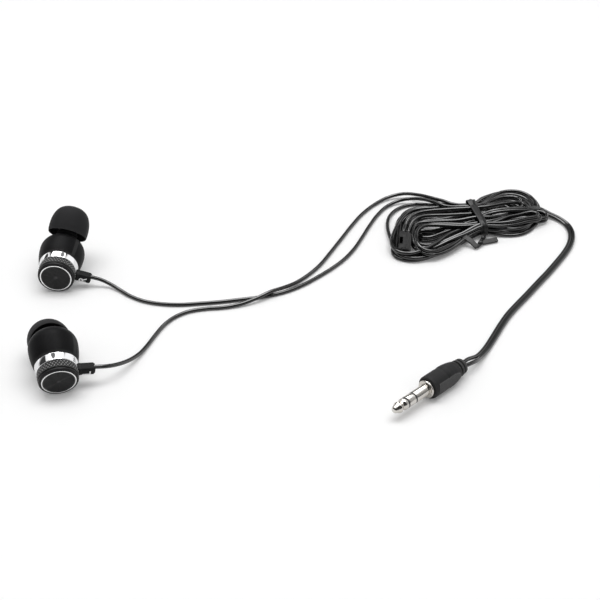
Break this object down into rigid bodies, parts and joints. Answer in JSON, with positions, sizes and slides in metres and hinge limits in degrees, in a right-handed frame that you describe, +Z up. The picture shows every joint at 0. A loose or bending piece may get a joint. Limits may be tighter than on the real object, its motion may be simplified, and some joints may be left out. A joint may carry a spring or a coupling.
{
  "type": "wired earphones",
  "caption": "In-ear earphones with knurled rear caps, chrome bands and angled nozzles with silicone tips, on a thin cord that is wound into a tied hank and ends in a 3.5 mm stereo plug.",
  "frame": {"origin": "on the surface that the set lies on, under the middle of the box round the two earpieces", "axes": "+Z up from the surface; +Y from the left earpiece to the right one; +X from the earpieces towards the hank"},
  "size_m": [0.1797, 0.1309, 0.0201],
  "materials": {
    "cap_plastic": "fine matte, dark grey-black",
    "bright_ring": "polished",
    "chrome": "mirror-bright plating",
    "housing_plastic": "glossy black",
    "mesh_steel": "perforated, dull",
    "tip_silicone": "matte dark silicone",
    "boot_rubber": "satin black",
    "board": "green laminate",
    "yoke_steel": "plain steel",
    "magnet": "dull plated magnet",
    "frame_plastic": "moulded black",
    "coil_copper": "enamelled copper wire",
    "film": "thin film",
    "cord_jacket": "glossy black soft jacket",
    "splitter_rubber": "satin black",
    "tie_plastic": "satin black coated wire tie",
    "plug_rubber": "matte black moulded grip",
    "nickel": "polished nickel",
    "insulator": "black"
  },
  "bodies": {
    "earphones": {"right_end_disc": "cap_plastic", "right_bezel_ring": "bright_ring", "right_rear_cap": "cap_plastic", "right_chrome_band": "chrome", "right_front_housing": "housing_plastic", "right_nozzle_mesh": "mesh_steel", "right_cord_boot": "boot_rubber", "right_terminal_board": "board", "right_driver_yoke": "yoke_steel", "right_driver_magnet": "magnet", "right_pole_plate": "yoke_steel", "right_driver_frame": "frame_plastic", "right_driver_cover": "yoke_steel", "left_end_disc": "cap_plastic", "left_bezel_ring": "bright_ring", "left_rear_cap": "cap_plastic", "left_chrome_band": "chrome", "left_front_housing": "housing_plastic", "left_nozzle_mesh": "mesh_steel", "left_cord_boot": "boot_rubber", "left_terminal_board": "board", "left_driver_yoke": "yoke_steel", "left_driver_magnet": "magnet", "left_pole_plate": "yoke_steel", "left_driver_frame": "frame_plastic", "left_driver_cover": "yoke_steel", "right_lead": "cord_jacket", "left_lead": "cord_jacket", "y_splitter": "splitter_rubber", "cord_hank": "cord_jacket", "twist_tie": "tie_plastic", "main_cord": "cord_jacket", "plug_body": "plug_rubber", "plug_sleeve": "nickel", "ring_insulator": "insulator", "plug_ring": "nickel", "tip_insulator": "insulator", "plug_tip": "nickel"},
    "right_tip": {"right_ear_tip": "tip_silicone"},
    "left_tip": {"left_ear_tip": "tip_silicone"},
    "right_cone": {"right_voice_coil": "coil_copper", "right_diaphragm": "film"},
    "left_cone": {"left_voice_coil": "coil_copper", "left_diaphragm": "film"}
  },
  "joints": [
    {"name": "right_tip_pull", "type": "slide", "parent": "earphones", "child": "right_tip", "axis": [0.2005, 0.7373, 0.6452], "range_m": [0, 0.009]},
    {"name": "left_tip_pull", "type": "slide", "parent": "earphones", "child": "left_tip", "axis": [-0.3198, 0.898, -0.302], "range_m": [0, 0.009]},
    {"name": "right_cone_stroke", "type": "slide", "parent": "earphones", "child": "right_cone", "axis": [0.0312, 0.9914, 0.1271], "range_m": [-0.00025, 0.00025], "stiffness_N_per_m": 300},
    {"name": "left_cone_stroke", "type": "slide", "parent": "earphones", "child": "left_cone", "axis": [-0.2442, 0.9241, 0.294], "range_m": [-0.00025, 0.00025], "stiffness_N_per_m": 300}
  ]
}
